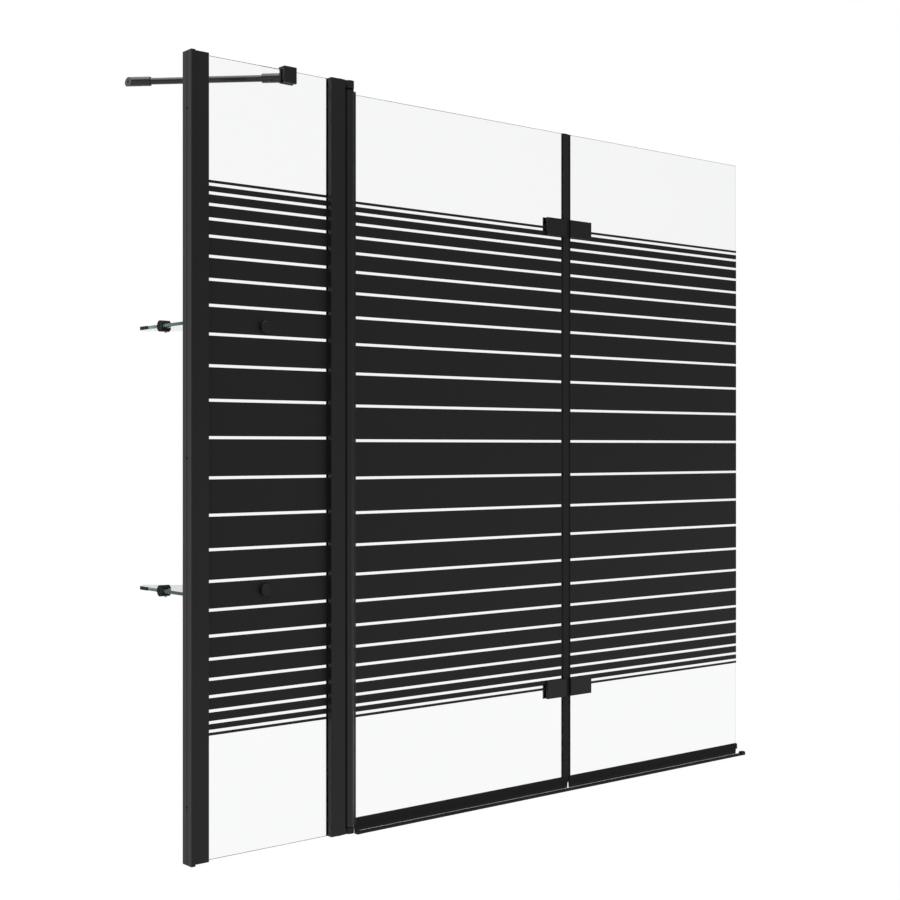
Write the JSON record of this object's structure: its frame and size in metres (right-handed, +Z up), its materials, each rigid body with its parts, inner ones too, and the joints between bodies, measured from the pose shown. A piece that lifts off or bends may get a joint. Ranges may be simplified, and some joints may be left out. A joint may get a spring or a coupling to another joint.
{
  "type": "folding bath screen",
  "caption": "Glass bath screen with a fixed pane, two folding leaves, black profiles and printed stripes, a support bar, corner shelves and a threshold bar.",
  "frame": {"origin": "on the wall plane, at the rim of the bath, in line with the outer face of the panes", "axes": "+X along the screen away from the wall, +Y from the outer glass face towards the bath, +Z up"},
  "size_m": [1.4673, 0.2516, 1.4085],
  "materials": {
    "black_coated_aluminium": "satin black powder coat",
    "clear_glass": "clear toughened safety glass with polished green-grey edges",
    "ceramic_print": "fired black ceramic print",
    "black_rubber": "matt black",
    "black_plastic": "matt black moulding",
    "screw_steel": "plain stainless steel"
  },
  "bodies": {
    "fixed_side": {"wall_channel": "black_coated_aluminium", "wall_profile": "black_coated_aluminium", "profile_lock_screws": "screw_steel", "wall_gaskets": "black_rubber", "fixed_glass": "clear_glass", "fixed_print": "ceramic_print", "pivot_post": "black_coated_aluminium", "post_gaskets": "black_rubber", "upper_pivot_block": "black_coated_aluminium", "lower_pivot_block": "black_coated_aluminium", "pivot_pins": "screw_steel", "thrust_washer": "screw_steel", "bar_clamp": "black_coated_aluminium", "clamp_pads": "black_rubber", "clamp_stud": "screw_steel", "bar_clamp_socket": "black_coated_aluminium", "support_bar": "black_coated_aluminium", "bar_wall_foot": "black_coated_aluminium", "bar_wall_socket": "black_coated_aluminium", "socket_set_screws": "screw_steel", "upper_shelf": "clear_glass", "lower_shelf": "clear_glass", "upper_shelf_wall_clamp": "black_coated_aluminium", "lower_shelf_wall_clamp": "black_coated_aluminium", "upper_shelf_glass_clamp": "black_coated_aluminium", "lower_shelf_glass_clamp": "black_coated_aluminium", "upper_shelf_disc": "black_coated_aluminium", "lower_shelf_disc": "black_coated_aluminium", "shelf_bolts": "screw_steel", "shelf_set_screws": "screw_steel", "shelf_pads": "black_rubber", "threshold_bar": "black_coated_aluminium", "threshold_cap_left": "black_plastic", "threshold_cap_right": "black_plastic"},
    "leaf_1": {"leaf_1_stile": "black_coated_aluminium", "leaf_1_gaskets": "black_rubber", "leaf_1_bushes": "black_plastic", "leaf_1_glass": "clear_glass", "leaf_1_print": "ceramic_print", "leaf_1_bottom_rail": "black_coated_aluminium", "leaf_1_wiper": "black_rubber", "leaf_1_edge_seal": "black_rubber", "leaf_1_upper_hinge_front": "black_coated_aluminium", "leaf_1_lower_hinge_front": "black_coated_aluminium", "leaf_1_upper_hinge_back": "black_coated_aluminium", "leaf_1_lower_hinge_back": "black_coated_aluminium", "leaf_1_hinge_screws": "screw_steel"},
    "leaf_2": {"leaf_2_glass": "clear_glass", "leaf_2_print": "ceramic_print", "leaf_2_bottom_rail": "black_coated_aluminium", "leaf_2_wiper": "black_rubber", "leaf_2_edge_seal": "black_rubber", "leaf_2_upper_hinge_front": "black_coated_aluminium", "leaf_2_lower_hinge_front": "black_coated_aluminium", "leaf_2_upper_hinge_back": "black_coated_aluminium", "leaf_2_lower_hinge_back": "black_coated_aluminium", "leaf_2_hinge_screws": "screw_steel", "fold_hinge_pins": "screw_steel"}
  },
  "joints": [
    {"name": "leaf_1_pivot", "type": "hinge", "parent": "fixed_side", "child": "leaf_1", "pos_m": [0.338, -0.002, 0.7], "axis": [0, 0, 1], "range_deg": [0, 90]},
    {"name": "leaf_2_fold", "type": "hinge", "parent": "leaf_1", "child": "leaf_2", "pos_m": [0.9092, 0.013, 0.7], "axis": [0, 0, 1], "range_deg": [0, 180]}
  ]
}
